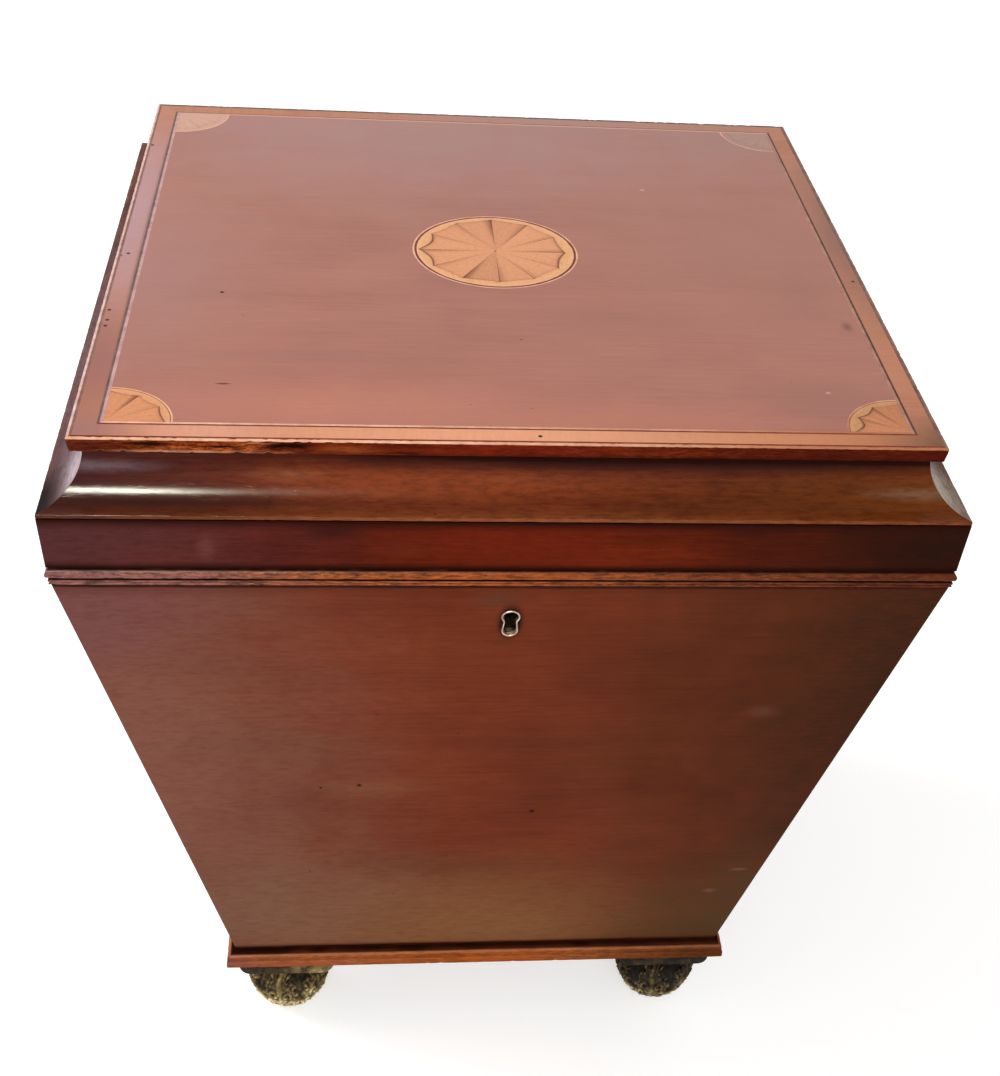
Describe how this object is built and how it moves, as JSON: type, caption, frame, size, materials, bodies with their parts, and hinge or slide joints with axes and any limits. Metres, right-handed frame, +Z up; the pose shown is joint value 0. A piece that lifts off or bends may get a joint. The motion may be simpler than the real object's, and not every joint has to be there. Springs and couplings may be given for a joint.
{
  "type": "cellarette",
  "caption": "Square tapered mahogany bottle box on cast feet, with a hinged inlaid sarcophagus lid, a lock and a lined inside with bottle cells.",
  "frame": {"origin": "on the floor, under the middle of the whole object's box", "axes": "+Z up, -Y to the front where the keyhole is, +X to the viewer's right"},
  "size_m": [0.486, 0.4908, 0.519],
  "materials": {
    "mahogany": "old polished mahogany, red brown, worn at the arrises",
    "top_veneer": "faded polished mahogany veneer, pinkish brown",
    "crossband": "polished crossbanding, orange brown, grain across the band",
    "satinwood": "polished satinwood inlay with sand-shaded edges",
    "plain_wood": "plain waxed mahogany",
    "cast_brass": "cast brass with a dark patina, bright on the high points",
    "brass": "dull old brass",
    "steel": "filed and darkened steel",
    "lead": "dull grey sheet lead"
  },
  "bodies": {
    "carcass": {"front_panel": "mahogany", "back_panel": "mahogany", "left_panel": "mahogany", "right_panel": "mahogany", "bottom_board": "plain_wood", "base_moulding_front": "mahogany", "base_moulding_right": "mahogany", "base_moulding_back": "mahogany", "base_moulding_left": "mahogany", "rim_bead_front": "mahogany", "rim_bead_right": "mahogany", "rim_bead_back": "mahogany", "rim_bead_left": "mahogany", "foot_front_left": "cast_brass", "foot_front_right": "cast_brass", "foot_back_left": "cast_brass", "foot_back_right": "cast_brass", "lead_lining": "lead", "bottle_divider_across_1": "plain_wood", "bottle_divider_across_2": "plain_wood", "bottle_divider_along_1": "plain_wood", "bottle_divider_along_2": "plain_wood", "lock_case": "brass", "escutcheon": "brass", "hinge_body_leaf_left": "brass", "hinge_body_leaf_right": "brass", "hinge_pin_left": "steel", "hinge_pin_right": "steel"},
    "lid": {"lid_top_board": "mahogany", "top_field_veneer": "top_veneer", "top_stringing": "satinwood", "top_patera": "satinwood", "corner_fan_front_left": "satinwood", "corner_fan_front_right": "satinwood", "corner_fan_back_right": "satinwood", "corner_fan_back_left": "satinwood", "crossband_front": "crossband", "crossband_right": "crossband", "crossband_back": "crossband", "crossband_left": "crossband", "lid_cavetto_front": "mahogany", "lid_cavetto_right": "mahogany", "lid_cavetto_back": "mahogany", "lid_cavetto_left": "mahogany", "lid_frieze_front": "mahogany", "lid_frieze_right": "mahogany", "lid_frieze_back": "mahogany", "lid_frieze_left": "mahogany", "lid_bead_front": "mahogany", "lid_bead_right": "mahogany", "lid_bead_back": "mahogany", "lid_bead_left": "mahogany", "hinge_lid_leaf_left": "brass", "hinge_lid_leaf_right": "brass", "lock_link_plate": "brass"},
    "lock_bolt": {"lock_bolt": "steel"}
  },
  "joints": [
    {"name": "lid_hinge", "type": "hinge", "parent": "carcass", "child": "lid", "pos_m": [0, 0.24215, 0.4421], "axis": [-1, 0, 0], "range_deg": [0, 95]},
    {"name": "lock_bolt_slide", "type": "slide", "parent": "carcass", "child": "lock_bolt", "axis": [1, 0, 0], "range_m": [0, 0.006]}
  ]
}
